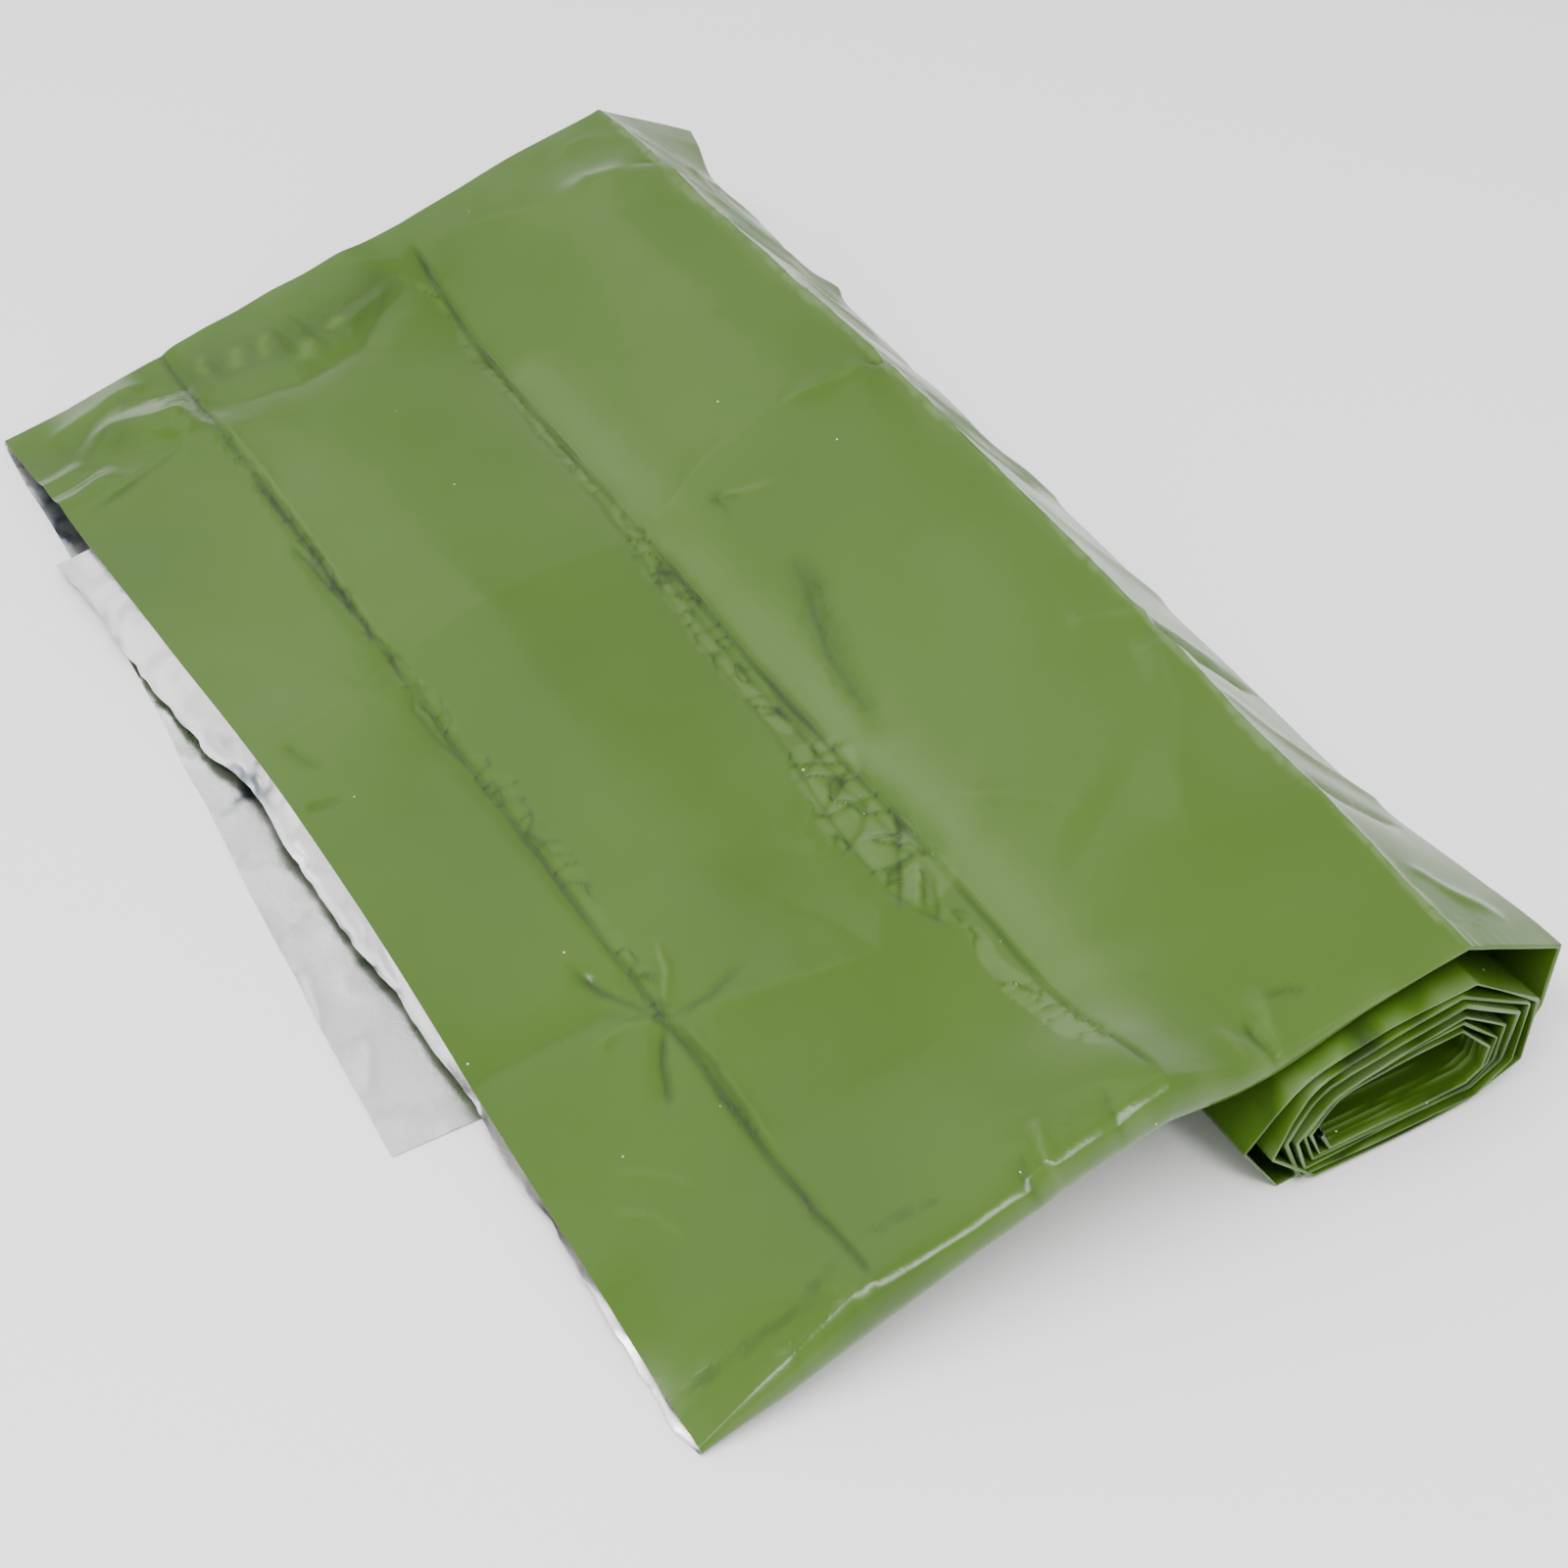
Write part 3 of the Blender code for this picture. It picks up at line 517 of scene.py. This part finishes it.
def creases(s, v):
    """How far the film stands out of, or is pressed into, its smooth shape at s and v, with how
    crumpled it is there and the light and shade painted into its colour: painted shade in valleys
    and in the roll, painted highlights and reflections on crests and along the long folds."""
    along, across = np.meshgrid(s, v, indexing="ij")
    shake_s = shake(along, across, 9.0, 11.0, 31)
    shake_v = shake(along, across, 11.0, 9.0, 33)
    height = waves(along, across)
    roll = ease((along - BACK_TOP) / 40.0)
    outside = 1.0 - ease((along - BACK_LOW) / 20.0)

    # Painted highlight along the long folds, most on the roll's rims, and painted shade on the roll
    from_fold = np.minimum(across, WIDTH - across)
    tone = (0.22 + 0.75 * roll) * np.exp(-((from_fold / FOLD_HIGHLIGHT_WIDTH) ** 2))
    tone *= 0.6 + value_noise(along / 9.0, across / 9.0, 12)
    tone -= roll * (0.25 + 0.25 * (1.0 - outside))

    # Patches of painted shade and painted highlight
    for shade in SHADES:
        away, _, fade, _ = nearest(along + shake_s, across + shake_v, shade.points)
        tone += shade.tone * fade * np.exp(-((away / shade.reach) ** 2))

    for number, fold in enumerate(FOLDS):
        right, left = fold.reach if isinstance(fold.reach, tuple) else (fold.reach, fold.reach)
        wander = 0.6 * min(1.0, left / FINE_REACH)
        away, place, fade, on_left = nearest(along + wander * shake_s, across + wander * shake_v,
                                             fold.points)
        uneven = 0.8 + 0.35 * value_noise(place / 13.0, place / 200.0, 50 + number)
        # A thin line of painted shade along valley creases and of painted highlight along raised
        # ones
        painted_line = np.clip(FINE_REACH / right, 0.0, 1.0) * np.clip(0.55 * fold.height, -1.0, 0.3)
        tone += painted_line * uneven * fade * np.exp(-((away / LINE_WIDTH) ** 2))
        slope = np.exp(-blunted(away, fold.blunt) / np.where(on_left, left, right))
        height += fold.height * uneven * fade * slope

    for number, pleat in enumerate(PLEATS):
        away, place, fade, on_left = nearest(along + 0.5 * shake_s, across + 0.5 * shake_v,
                                             pleat.points)
        side = np.where(on_left, pleat.reach[1], pleat.reach[0])
        uneven = 0.9 + 0.2 * value_noise(place / 13.0, place / 200.0, 350 + number)
        slope = np.clip(1.0 - blunted(away, pleat.blunt) / side, 0.0, 1.0)
        height += pleat.height * uneven * fade * slope

    rough = 0.35 * roll * ease(0.5 + value_noise(along / 14.0, across / 40.0, 13))
    for number, crumple in enumerate(CRUMPLES):
        away, place, fade, _ = nearest(along + shake_s, across + shake_v, crumple.points)
        uneven = 0.75 + 0.6 * value_noise(place / 15.0, place / 300.0, 150 + number)
        mask = np.clip(uneven, 0.0, 1.3) * fade * np.exp(-(away / crumple.reach) ** 2)
        crests = ridged((along + 0.5 * shake_s) / crumple.size_s,
                        (across + 0.5 * shake_v) / crumple.size_v, 200 + number)
        height += crumple.height * mask * (crests**2 - 0.45)
        rough = np.maximum(rough, mask)
        # Painted sheen between the crumples' creases and painted shade in them
        inside = ease((mask - 0.3) / 0.15)
        tone += inside * (crumple.shine * (1.0 - crests**4) - crumple.dark * crests**10)

    # The turns are tight, so they have slow swells of their own instead, deeper on the outside
    wound = 0.35 * value_noise(along / 28.0, across / 60.0, 8)
    wound += outside * 1.1 * np.abs(value_noise(along / 30.0 + across / 55.0, across / 70.0, 18))
    height = height * (1 - roll) + roll * wound
    return height, np.stack([np.clip(rough, 0.0, 1.0), np.clip(tone, -1.0, 1.0)], -1)


def core_creases(along, across):
    """Broken creases round the inside of the roll's last turn, near both of its ends, where the
    silver side gets a painted highlight.
    """
    inner = ease((along - CORE_START) / 6.0)
    from_fold = np.minimum(across, WIDTH - across)
    line = np.zeros(along.shape)
    for number, place in enumerate(CORE_LINES):
        drawn = ease(0.55 + 0.9 * value_noise(along / 12.0, across / 200.0, 400 + number))
        line = np.maximum(line, drawn * np.exp(-(((from_fold - place) / CORE_LINE_WIDTH) ** 2)))
    return inner * line


def spread(start, end, spots, fine, coarse, reach):
    """Places from start to end, close together near the spots and further apart elsewhere."""
    places = [start]
    while places[-1] < end:
        gap = min(abs(places[-1] - spot) for spot in spots)
        places.append(places[-1] + fine + (coarse - fine) * float(ease(gap / reach)))
    places = np.array(places)
    return start + (places - start) * (end - start) / (places[-1] - start)


def film_points(s, top_gap, under_gap, fold_steps, near_gap=None):
    """Grid of the film's middle surface, its normals and its marks (crumpled, tone). Rows run
    along the strip, and columns from the second layer's raw edge, round the near fold, over the
    top, round the far fold, to the third layer's raw edge. Gaps are between columns; the roll has
    a near gap as well, because its near end is seen from close by, and columns for the core."""
    first, last = 0.02 * WIDTH, 0.98 * WIDTH
    top = np.linspace(first, last, int((last - first) / top_gap))
    second = np.linspace(SECOND_EDGE, first, int((SECOND_EDGE - first) / under_gap))
    third = np.linspace(last, THIRD_EDGE, int((last - THIRD_EDGE) / under_gap))
    if near_gap:
        top = spread(first, last, (first,), near_gap, top_gap, 110.0)
        lines = np.array([place + side for place in CORE_LINES for side in CORE_COLUMNS])
        second = np.sort(np.concatenate([second, lines]))[::-1]
        third = np.sort(np.concatenate([third, WIDTH - lines]))[::-1]
    inward = ease((s - RIDGE) / (SECOND_RIDGE - RIDGE))
    shift = (inward * (TURN_SHIFT + 1.6 * value_noise(s / 70.0, s / 900.0, 14)))[:, None]
    loose = (1.0 - ease((s - 6.0) / 34.0))[:, None]
    parts = []
    marks = []

    def add(v, depth, relief, mark):
        points, normals = surface(s, v)
        flat = points + normals * (relief - depth)[..., None]
        across = np.broadcast_to(v[None, :], depth.shape) + shift
        parts.append(np.stack([flat[..., 0], across, flat[..., 1]], -1))
        marks.append(np.broadcast_to(mark, depth.shape + (2,)))

    def fold(v_edge, radius, sign):
        """A long fold, half round: the near one (sign -1) goes from under the strip to its top,
        and the far one (sign 1) from its top to under it."""
        points, normals = surface(s, np.array([v_edge]))
        angles = np.linspace(-np.pi / 2, np.pi / 2, fold_steps + 1)[1:-1]
        if sign > 0:
            angles = angles[::-1]
        rows = []
        for a in angles:
            back = radius * (1.0 - np.cos(a) ** 0.8)
            place = v_edge - sign * float(np.mean(back)) * 0.6
            relief, mark = creases(s, np.array([place]))
            upper = np.sin(a) ** 0.8 if a > 0 else np.sin(a)
            depth = radius * (1 - upper) - relief * (0.55 + 0.45 * np.sin(a))
            flat = points[:, 0] - normals[:, 0] * depth
            across = v_edge - sign * back + shift
            rows.append(np.stack([flat[:, 0], across[:, 0], flat[:, 1]], -1))
            marks.append(mark)
        parts.append(np.stack(rows, 1))

    def depths(v):
        return layer_depths(s, v, surface(s, v)[0][..., 1])

    def under_relief(v, seed):
        """Creases and marks of the silver side, which shows at the cut end and in the core. The
        cut end has a painted dark reflection, slate, in two places: a knot of creases, and a wide
        patch by the far fold."""
        along, across = np.meshgrid(s, v, indexing="ij")
        swell = 0.4 * waves(along, across) * (1 - ease((along - RIDGE) / 40.0))
        crests = ridged(along / 7.0, across / 13.0, seed)
        relief = 0.7 * crests**2 + 0.6 * value_noise(along / 30.0, across / 34.0, seed + 1)
        relief = swell + loose * relief
        # Painted dark reflection: a knot of creases and a patch by the far fold
        knot = np.exp(-(((across - 292.0) / 14.0) ** 2))
        patch = np.exp(-(((across - 458.0) / 22.0) ** 4))
        dark_reflection = loose * (0.15 + knot) * ease((crests - 0.7) / 0.25)
        dark_reflection += 0.8 * loose * patch * (0.75 + 0.4 * crests**4)
        line = core_creases(along, across)
        shaded = 0.45 * ease((along - OPEN_END) / 40.0)
        crumpled = np.broadcast_to(0.4 * loose, relief.shape)
        # Painted highlight along the core's creases, and painted shade on the silver in the roll
        tone = 1.2 * line - np.clip(dark_reflection, 0.0, 1.0) - shaded
        return relief - 0.5 * line, np.stack([crumpled, tone], -1)

    # The second layer's cut edge rises in one place and sags in the next
    lift = (2.5 * np.exp(-((second - 262.0) / 20.0) ** 2)
            - 1.5 * np.exp(-((second - 340.0) / 30.0) ** 2))
    relief, mark = under_relief(second, 71)
    add(second, depths(second)[0], relief + loose * lift[None, :], mark)
    fold(0.0, depths(np.array([0.0]))[0] / 2, -1)
    relief, mark = creases(s, top)
    add(top, 0.0 * relief, relief, mark)
    fold(WIDTH, depths(np.array([WIDTH]))[1] / 2, 1)
    relief, mark = under_relief(third, 81)
    add(third, depths(third)[1], 0.5 * relief, mark)
    grid = np.concatenate(parts, 1)
    if s[0] == 0.0:
        shape_cut_end(grid, s, second, third)
    grid[..., 2] = np.maximum(grid[..., 2], FILM / 2)
    normals = np.cross(np.gradient(grid, axis=0), np.gradient(grid, axis=1))
    normals /= np.maximum(np.linalg.norm(normals, axis=-1, keepdims=True), 1e-9)
    return grid, normals, np.concatenate(marks, 1)


def shape_cut_end(grid, s, second, third):
    """The lower layers' cut ends stick out past the top layer's by different amounts, and the cut
    wanders a little."""
    fade = ease(1.0 - s / 30.0)[:, None]
    bow = TOP_BOW * np.sin(np.pi * second / WIDTH) ** 2
    ragged = 1.1 * value_noise(second / 14.0, second / 90.0, 91)
    ragged += 0.6 * value_noise(second / 5.0, second / 50.0, 92)
    grid[:, :len(second), 0] -= fade * (np.interp(second, EDGE_AT, SECOND_OUT) + bow + ragged)
    bow = TOP_BOW * np.sin(np.pi * third / WIDTH) ** 2
    ragged = 0.5 * value_noise(third / 21.0, third / 90.0, 93)
    grid[:, -len(third):, 0] -= fade * (np.interp(third, EDGE_AT, THIRD_OUT) + bow + ragged)


def shell(name, grid, normals, marks, materials):
    """Thin closed film on a grid of middle points, green on its outer side and silver inside."""
    rows, columns = grid.shape[:2]
    outer = grid + normals * FILM / 2
    inner = grid - normals * FILM / 2
    points = np.concatenate([outer.reshape(-1, 3), inner.reshape(-1, 3)]) * MM + np.array(CORNER)

    index = np.arange(rows * columns).reshape(rows, columns)
    a, b, c, d = index[:-1, :-1], index[1:, :-1], index[1:, 1:], index[:-1, 1:]
    quads = np.stack([a, b, c, d], -1).reshape(-1, 4)
    ring = np.concatenate([index[0, :-1], index[:-1, -1], index[-1, :0:-1], index[:0:-1, 0]])
    after = np.roll(ring, -1)
    count = rows * columns
    rim = np.stack([ring, after, after + count, ring + count], -1)
    faces = np.concatenate([quads, quads[:, ::-1] + count, rim])

    mesh = bpy.data.meshes.new(name)
    mesh.vertices.add(len(points))
    mesh.vertices.foreach_set("co", points.ravel())
    mesh.loops.add(4 * len(faces))
    mesh.loops.foreach_set("vertex_index", faces.ravel())
    mesh.polygons.add(len(faces))
    mesh.polygons.foreach_set("loop_start", np.arange(len(faces)) * 4)
    for material in materials:
        mesh.materials.append(material)
    sides = np.concatenate([np.zeros(len(quads), int), np.ones(len(quads) + len(rim), int)])
    mesh.polygons.foreach_set("material_index", sides)
    for values, attribute in ((marks[..., 0], "crumpled"), (marks[..., 1], "tone")):
        layer = mesh.attributes.new(attribute, "FLOAT", "POINT")
        layer.data.foreach_set("value", np.concatenate([values.ravel(), values.ravel()]))
    mesh.update(calc_edges=True)
    mesh.validate()
    mesh.shade_smooth()
    mesh.normals_split_custom_set_from_vertices(
        np.concatenate([normals.reshape(-1, 3), -normals.reshape(-1, 3)]).tolist())
    piece = bpy.data.objects.new(name, mesh)
    bpy.context.scene.collection.objects.link(piece)
    return piece


def film_materials():
    """Green and silver sides of the film: glossy, uneven in tone at random, with painted shade in
    creases and the roll, painted highlights and reflections on folds and crests, crackled where it
    is crumpled, and with a few specks of dust."""
    # Colours at full painted shade, plain film and full painted highlight; silver's dark end is a
    # painted dark reflection
    green = ((0.012, 0.026, 0.006), (0.049, 0.105, 0.0095), (0.115, 0.175, 0.065))
    silver = ((0.16, 0.2, 0.25), (0.97, 0.975, 0.96), (1.0, 1.0, 1.0))
    return [film_material("green_film", green, (0.17, 0.25), 0.0),
            film_material("silver_film", silver, (0.24, 0.36), 1.0)]


def film_material(name, colours, roughness, metallic):
    """One side of the film: its colours at full painted shade, plain, and at full painted highlight
    (painted light -1, 0 and 1), and its least and greatest roughness."""
    material = bpy.data.materials.new(name)
    material.use_nodes = True
    nodes, links = material.node_tree.nodes, material.node_tree.links
    shader = nodes["Principled BSDF"]
    shader.inputs["Metallic"].default_value = metallic
    shader.inputs["IOR"].default_value = 1.38
    place = nodes.new("ShaderNodeTexCoord")

    def attribute(attribute_name):
        node = nodes.new("ShaderNodeAttribute")
        node.attribute_name = attribute_name
        return node.outputs["Fac"]

    def noise(scale, detail, distortion=0.0):
        node = nodes.new("ShaderNodeTexNoise")
        node.inputs["Scale"].default_value = scale
        node.inputs["Detail"].default_value = detail
        node.inputs["Distortion"].default_value = distortion
        links.new(place.outputs["Object"], node.inputs["Vector"])
        return node.outputs["Fac"]

    def remap(value, low, high, to_low, to_high):
        node = nodes.new("ShaderNodeMapRange")
        node.inputs["From Min"].default_value = low
        node.inputs["From Max"].default_value = high
        node.inputs["To Min"].default_value = to_low
        node.inputs["To Max"].default_value = to_high
        links.new(value, node.inputs["Value"])
        return node.outputs["Result"]

    def bump(height, distance, strength, below=None):
        node = nodes.new("ShaderNodeBump")
        node.inputs["Distance"].default_value = distance
        if isinstance(strength, float):
            node.inputs["Strength"].default_value = strength
        else:
            links.new(strength, node.inputs["Strength"])
        links.new(height, node.inputs["Height"])
        if below:
            links.new(below, node.inputs["Normal"])
        return node.outputs["Normal"]

    broad, swell, fine = noise(9.0, 2.0), noise(55.0, 3.0), noise(330.0, 4.0, 0.6)

    # Colour by the painted light and shade, a little uneven at random, with a few pale specks of
    # dust
    uneven = nodes.new("ShaderNodeMath")
    uneven.operation = "ADD"
    links.new(attribute("tone"), uneven.inputs[0])
    links.new(remap(broad, 0.3, 0.7, -0.12, 0.12), uneven.inputs[1])
    tones = nodes.new("ShaderNodeValToRGB")
    ramp = tones.color_ramp
    ramp.elements.new(0.5)
    for element, at, colour in zip(ramp.elements, (0.0, 0.5, 1.0), colours):
        element.position = at
        element.color = (*colour, 1.0)
    links.new(remap(uneven.outputs["Value"], -1.0, 1.0, 0.0, 1.0), tones.inputs["Fac"])
    specks = nodes.new("ShaderNodeTexVoronoi")
    specks.inputs["Scale"].default_value = 64.0
    links.new(place.outputs["Object"], specks.inputs["Vector"])
    dusted = nodes.new("ShaderNodeMix")
    dusted.data_type = "RGBA"
    dusted.inputs["B"].default_value = (0.8, 0.85, 0.7, 1.0)
    links.new(tones.outputs["Color"], dusted.inputs["A"])
    links.new(remap(specks.outputs["Distance"], 0.012, 0.026, 0.9, 0.0), dusted.inputs["Factor"])
    links.new(dusted.outputs["Result"], shader.inputs["Base Color"])
    links.new(remap(swell, 0.3, 0.7, *roughness), shader.inputs["Roughness"])

    # A soft unevenness everywhere, and fine crackle where the film is crumpled
    soft = bump(swell, 0.0004, 0.5)
    crackle = bump(fine, 0.0006, remap(attribute("crumpled"), 0.0, 1.0, 0.03, 0.4), soft)
    links.new(crackle, shader.inputs["Normal"])
    return material


def make_film():
    """The film in five lengths that share their end lines, so each one's mesh can be fine. Each
    has its places along the strip, and the gaps and fold steps of its columns."""
    materials = film_materials()
    roll_corners = tuple(S_AT[S_AT >= OPEN_END])
    lengths = (
        ("film_end",
         spread(0.0, FIRST_CREASE, (0.0, FIRST_CREASE), 0.75, 1.5, 25.0),
         (1.4, 3.0, 14)),
        ("film_panel",
         spread(FIRST_CREASE, SECOND_CREASE, (FIRST_CREASE + 4, SECOND_CREASE - 8), 0.8, 1.5, 34.0),
         (1.35, 14.0, 14)),
        ("film_ramp",
         spread(SECOND_CREASE, RIDGE, (SECOND_CREASE, SECOND_CREASE + 28, RIDGE), 0.9, 1.6, 26.0),
         (1.35, 14.0, 14)),
        ("film_back",
         spread(RIDGE, OPEN_END, (RIDGE, BACK_TOP), 0.9, 1.5, 30.0),
         (1.35, 14.0, 10)),
        ("film_roll",
         spread(OPEN_END, S_AT[-1], roll_corners, 1.0, 8.5, 10.0),
         (16.0, 24.0, 8, 5.0)),
    )
    for name, s, gaps in lengths:
        before = [s[0] - SEAM_STEP] if name != "film_end" else []
        after = [s[-1] + SEAM_STEP] if name != "film_roll" else []
        inside = slice(len(before), len(before) + len(s))
        grid, normals, marks = film_points(np.concatenate([before, s, after]), *gaps)
        piece = shell(name, grid[inside], normals[inside], marks[inside], materials)
        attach(piece, "root")
        if name == "film_ramp":
            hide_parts("foil_blanket")


def make_camera():
    """Camera at the photo's place, from the fit of the strip's corners and ridge."""
    camera_data = bpy.data.cameras.new("camera")
    camera_data.sensor_width = SENSOR
    camera_data.lens = FOCAL_LENGTH
    camera_data.clip_start = 0.01
    camera = bpy.data.objects.new("camera", camera_data)
    place = CORNER + Vector(CAMERA_PLACE) * MM
    yaw, pitch = np.radians(CAMERA_YAW), np.radians(CAMERA_PITCH)
    ahead = Vector((np.sin(yaw) * np.cos(pitch), np.cos(yaw) * np.cos(pitch), -np.sin(pitch)))
    camera.location = place
    camera.rotation_euler = ahead.to_track_quat("-Z", "Y").to_euler()
    bpy.context.scene.collection.objects.link(camera)
    bpy.context.scene.camera = camera


def make_stage():
    """White floor, a pale surround, and two softboxes."""
    floor_mesh = bpy.data.meshes.new("floor")
    half = FLOOR_HALF
    floor_mesh.from_pydata([(-half, -half, 0), (half, -half, 0), (half, half, 0), (-half, half, 0)],
                           [], [(0, 1, 2, 3)])
    floor = bpy.data.objects.new("floor", floor_mesh)
    material = bpy.data.materials.new("floor_white")
    material.use_nodes = True
    shader = material.node_tree.nodes["Principled BSDF"]
    shader.inputs["Base Color"].default_value = (0.92, 0.92, 0.92, 1.0)
    shader.inputs["Roughness"].default_value = 0.9
    floor_mesh.materials.append(material)
    bpy.context.scene.collection.objects.link(floor)

    # Bright all round the horizon and dimmer above, so that slopes in the film show
    world = bpy.data.worlds.new("studio")
    world.use_nodes = True
    nodes, links = world.node_tree.nodes, world.node_tree.links
    direction = nodes.new("ShaderNodeTexCoord")
    parts = nodes.new("ShaderNodeSeparateXYZ")
    fade = nodes.new("ShaderNodeMapRange")
    fade.interpolation_type = "SMOOTHSTEP"
    fade.inputs["From Min"].default_value = 0.0
    fade.inputs["From Max"].default_value = 0.5
    fade.inputs["To Min"].default_value = 2.1
    fade.inputs["To Max"].default_value = 1.12
    nodes["Background"].inputs["Color"].default_value = (1.0, 1.0, 1.0, 1.0)
    links.new(direction.outputs["Generated"], parts.inputs["Vector"])
    links.new(parts.outputs["Z"], fade.inputs["Value"])
    links.new(fade.outputs["Result"], nodes["Background"].inputs["Strength"])
    bpy.context.scene.world = world

    def softbox(name, place, target, size, power):
        data = bpy.data.lights.new(name, "AREA")
        data.shape = "RECTANGLE"
        data.size, data.size_y = size
        data.energy = power
        light = bpy.data.objects.new(name, data)
        light.location = place
        light.rotation_euler = (Vector(target) - Vector(place)).to_track_quat("-Z", "Y").to_euler()
        bpy.context.scene.collection.objects.link(light)

    softbox("top", (-0.51, -0.63, 1.5), (-0.01, -0.38, 0), (2.4, 0.28), 46)
    softbox("back left", (-0.45, 1.7, 1.9), (0, 0, 0), (1.6, 1.2), 5)


make_camera()
make_stage()
make_film()
